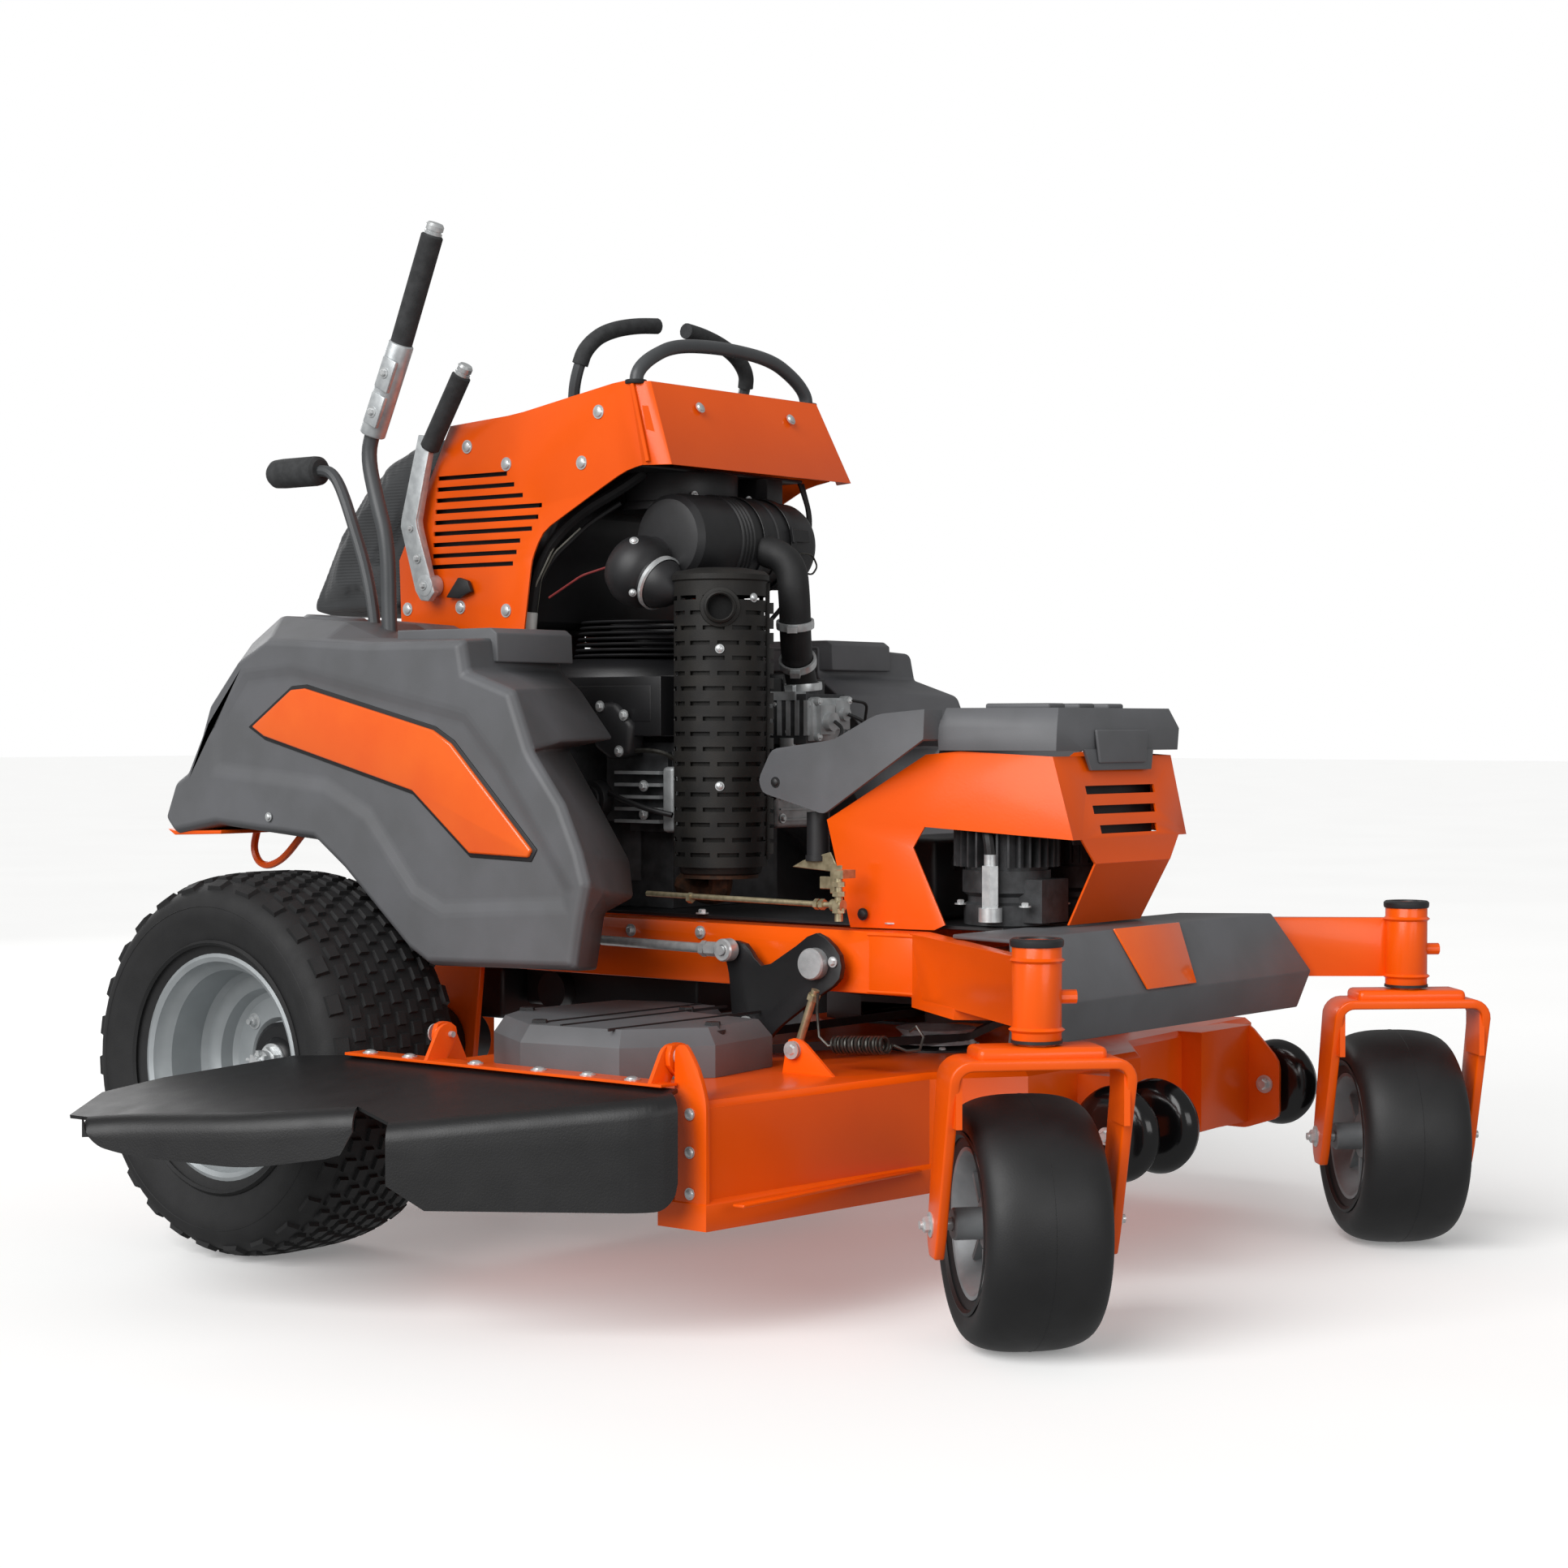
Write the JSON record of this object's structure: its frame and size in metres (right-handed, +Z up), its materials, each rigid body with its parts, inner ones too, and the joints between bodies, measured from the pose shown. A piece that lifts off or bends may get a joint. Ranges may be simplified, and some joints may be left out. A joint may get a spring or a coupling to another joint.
{
  "type": "stand-on lawn mower",
  "caption": "Stand-on zero-turn lawn mower with a floating side-discharge deck, rear drive wheels, front casters, vertical engine and twin drive levers.",
  "frame": {"origin": "centre of the machine's box, on the ground", "axes": "+Z up, the machine faces -Y, its discharge side is -X"},
  "size_m": [1.8324, 2.059, 1.5863],
  "materials": {
    "orange_powder_coat": "glossy orange powder coat over welded steel",
    "tyre_rubber": "matt black tyre rubber",
    "silver_rim_paint": "silver grey painted pressed-steel rim",
    "grey_moulding": "fine-grained mid grey moulded plastic",
    "black_steel_paint": "satin black paint on steel",
    "heat_proof_black": "high-temperature black paint on pressed steel",
    "cast_aluminium": "as-cast aluminium with machined faces",
    "black_moulding": "textured black plastic",
    "rubber_hose": "black rubber hose",
    "deflector_rubber": "black reinforced rubber sheet",
    "pad_vinyl": "black woven vinyl over foam",
    "lever_grip": "black foam and rubber grips over painted tube",
    "zinc_plate": "zinc plated steel"
  },
  "bodies": {
    "chassis": {"frame_rail_right": "orange_powder_coat", "frame_rail_left": "orange_powder_coat", "rear_frame": "orange_powder_coat", "front_bumper": "grey_moulding", "front_axle": "orange_powder_coat", "hood_shell": "orange_powder_coat", "engine_plate": "black_steel_paint", "engine_block": "cast_aluminium", "blower_housing": "black_steel_paint", "muffler": "heat_proof_black", "muffler_shield": "heat_proof_black", "air_cleaner": "black_moulding", "intake_elbow": "rubber_hose", "fuel_tank": "black_moulding", "console_front": "orange_powder_coat", "console_top": "black_moulding", "tower_back": "black_steel_paint", "tower_panel_right": "orange_powder_coat", "tower_panel_left": "orange_powder_coat", "operator_pad": "pad_vinyl", "reference_bar": "black_steel_paint", "fender_right": "grey_moulding", "fender_left": "grey_moulding", "hydro_pump_right": "cast_aluminium", "hydro_pump_left": "cast_aluminium", "wheel_motor_right": "black_steel_paint", "wheel_motor_left": "black_steel_paint", "assist_spring": "zinc_plate"},
    "lid": {"hood_lid": "grey_moulding"},
    "deck": {"deck_shell": "orange_powder_coat", "belt_cover_right": "grey_moulding", "belt_cover_left": "grey_moulding"},
    "blade_right": {"blade_spindle_right": "zinc_plate"},
    "blade_centre": {"blade_spindle_centre": "zinc_plate"},
    "blade_left": {"blade_spindle_left": "zinc_plate"},
    "deflector": {"deflector_hinge": "orange_powder_coat", "discharge_deflector": "deflector_rubber"},
    "roller_a": {"roller_centre_right": "black_moulding"},
    "roller_b": {"roller_centre_left": "black_moulding"},
    "roller_c": {"roller_corner_left": "black_moulding"},
    "crank_right": {"bell_crank_right": "black_steel_paint"},
    "crank_left": {"bell_crank_left": "black_steel_paint"},
    "lift_link": {"lift_rod": "zinc_plate"},
    "deck_lever": {"lift_lever": "lever_grip"},
    "height_stop": {"height_lever": "lever_grip"},
    "brake_lever": {"parking_brake_lever": "zinc_plate"},
    "steer_right": {"drive_lever_right": "lever_grip"},
    "steer_left": {"drive_lever_left": "lever_grip"},
    "pump_link": {"pump_control_rod": "zinc_plate"},
    "rear_wheel_right": {"rear_tyre_right": "tyre_rubber", "rear_rim_right": "silver_rim_paint"},
    "rear_wheel_left": {"rear_tyre_left": "tyre_rubber", "rear_rim_left": "silver_rim_paint"},
    "fork_right": {"caster_fork_right": "orange_powder_coat"},
    "fork_left": {"caster_fork_left": "orange_powder_coat"},
    "caster_wheel_right": {"caster_tyre_right": "tyre_rubber", "caster_rim_right": "silver_rim_paint"},
    "caster_wheel_left": {"caster_tyre_left": "tyre_rubber", "caster_rim_left": "silver_rim_paint"},
    "platform": {"operator_platform": "black_steel_paint"}
  },
  "joints": [
    {"name": "deck_lift", "type": "slide", "parent": "chassis", "child": "deck", "axis": [0, 0, 1], "range_m": [-0.075, 0]},
    {"name": "bell_crank_right_turn", "type": "hinge", "parent": "chassis", "child": "crank_right", "pos_m": [-0.09025, -0.3745, 0.462], "axis": [1, 0, 0], "range_deg": [-36, 0]},
    {"name": "drive_lever_right_push", "type": "hinge", "parent": "chassis", "child": "steer_right", "pos_m": [-0.01125, 0.1795, 1.262], "axis": [1, 0, 0], "range_deg": [-12, 12], "stiffness_Nm_per_rad": 12},
    {"name": "rear_wheel_right_roll", "type": "hinge", "parent": "chassis", "child": "rear_wheel_right", "pos_m": [-0.41325, 0.4295, 0.292], "axis": [1, 0, 0], "continuous": true},
    {"name": "caster_right_swivel", "type": "hinge", "parent": "chassis", "child": "fork_right", "pos_m": [-0.32325, -0.9105, 0.4], "axis": [0, 0, 1], "continuous": true},
    {"name": "caster_wheel_right_roll", "type": "hinge", "parent": "fork_right", "child": "caster_wheel_right", "pos_m": [-0.27929, -0.85993, 0.165], "axis": [0.7547, -0.6561, 0], "continuous": true},
    {"name": "bell_crank_left_turn", "type": "hinge", "parent": "chassis", "child": "crank_left", "pos_m": [0.45975, -0.3745, 0.462], "axis": [1, 0, 0], "range_deg": [-36, 0]},
    {"name": "drive_lever_left_push", "type": "hinge", "parent": "chassis", "child": "steer_left", "pos_m": [0.38075, 0.1795, 1.262], "axis": [1, 0, 0], "range_deg": [-12, 12], "stiffness_Nm_per_rad": 12},
    {"name": "rear_wheel_left_roll", "type": "hinge", "parent": "chassis", "child": "rear_wheel_left", "pos_m": [0.78275, 0.4295, 0.292], "axis": [1, 0, 0], "continuous": true},
    {"name": "caster_left_swivel", "type": "hinge", "parent": "chassis", "child": "fork_left", "pos_m": [0.69275, -0.9105, 0.4], "axis": [0, 0, 1], "continuous": true},
    {"name": "caster_wheel_left_roll", "type": "hinge", "parent": "fork_left", "child": "caster_wheel_left", "pos_m": [0.74095, -0.86396, 0.165], "axis": [0.6947, -0.7193, 0], "continuous": true},
    {"name": "lift_rod_turn", "type": "hinge", "parent": "crank_right", "child": "lift_link", "pos_m": [-0.10725, -0.2165, 0.475], "axis": [1, 0, 0], "range_deg": [0, 60]},
    {"name": "lift_lever_pull", "type": "hinge", "parent": "chassis", "child": "deck_lever", "pos_m": [-0.21525, 0.3695, 0.8], "axis": [1, 0, 0], "range_deg": [0, 27]},
    {"name": "height_lever_set", "type": "hinge", "parent": "chassis", "child": "height_stop", "pos_m": [-0.21525, 0.4145, 0.83], "axis": [1, 0, 0], "range_deg": [-10, 0]},
    {"name": "parking_brake_pull", "type": "hinge", "parent": "chassis", "child": "brake_lever", "pos_m": [-0.05825, 0.4595, 1.034], "axis": [1, 0, 0], "range_deg": [-28, 0]},
    {"name": "pump_rod_slide", "type": "slide", "parent": "chassis", "child": "pump_link", "axis": [0, 1, 0], "range_m": [-0.015, 0.015]},
    {"name": "blade_right_spin", "type": "hinge", "parent": "deck", "child": "blade_right", "pos_m": [-0.24525, -0.2105, 0.29], "axis": [0, 0, 1], "continuous": true},
    {"name": "blade_centre_spin", "type": "hinge", "parent": "deck", "child": "blade_centre", "pos_m": [0.18475, -0.3855, 0.29], "axis": [0, 0, 1], "continuous": true},
    {"name": "blade_left_spin", "type": "hinge", "parent": "deck", "child": "blade_left", "pos_m": [0.61475, -0.2105, 0.29], "axis": [0, 0, 1], "continuous": true},
    {"name": "deflector_swing", "type": "hinge", "parent": "deck", "child": "deflector", "pos_m": [-0.51525, -0.1705, 0.373], "axis": [0, 1, 0], "range_deg": [0, 70]},
    {"name": "roller_a_roll", "type": "hinge", "parent": "deck", "child": "roller_a", "pos_m": [0.13075, -0.7425, 0.223], "axis": [1, 0, 0], "continuous": true},
    {"name": "roller_b_roll", "type": "hinge", "parent": "deck", "child": "roller_b", "pos_m": [0.23875, -0.7425, 0.223], "axis": [1, 0, 0], "continuous": true},
    {"name": "roller_c_roll", "type": "hinge", "parent": "deck", "child": "roller_c", "pos_m": [0.81775, -0.6185, 0.223], "axis": [1, 0, 0], "continuous": true},
    {"name": "hood_lid_open", "type": "hinge", "parent": "chassis", "child": "lid", "pos_m": [0.18475, -0.2505, 0.725], "axis": [-1, 0, 0], "range_deg": [0, 60]},
    {"name": "platform_fold", "type": "hinge", "parent": "chassis", "child": "platform", "pos_m": [0.18475, 0.7815, 0.232], "axis": [1, 0, 0], "range_deg": [0, 85]}
  ],
  "couplings": [
    {"joint": "bell_crank_right_turn", "follows": "deck_lift", "rad_per_m": 8.145},
    {"joint": "bell_crank_left_turn", "follows": "deck_lift", "rad_per_m": 8.145},
    {"joint": "lift_rod_turn", "follows": "deck_lift", "rad_per_m": -13.5},
    {"joint": "lift_lever_pull", "follows": "deck_lift", "rad_per_m": -5.82},
    {"joint": "pump_rod_slide", "follows": "drive_lever_right_push", "m_per_rad": 0.06},
    {"joint": "blade_right_spin", "follows": "blade_centre_spin", "ratio": 1},
    {"joint": "blade_left_spin", "follows": "blade_centre_spin", "ratio": 1}
  ]
}
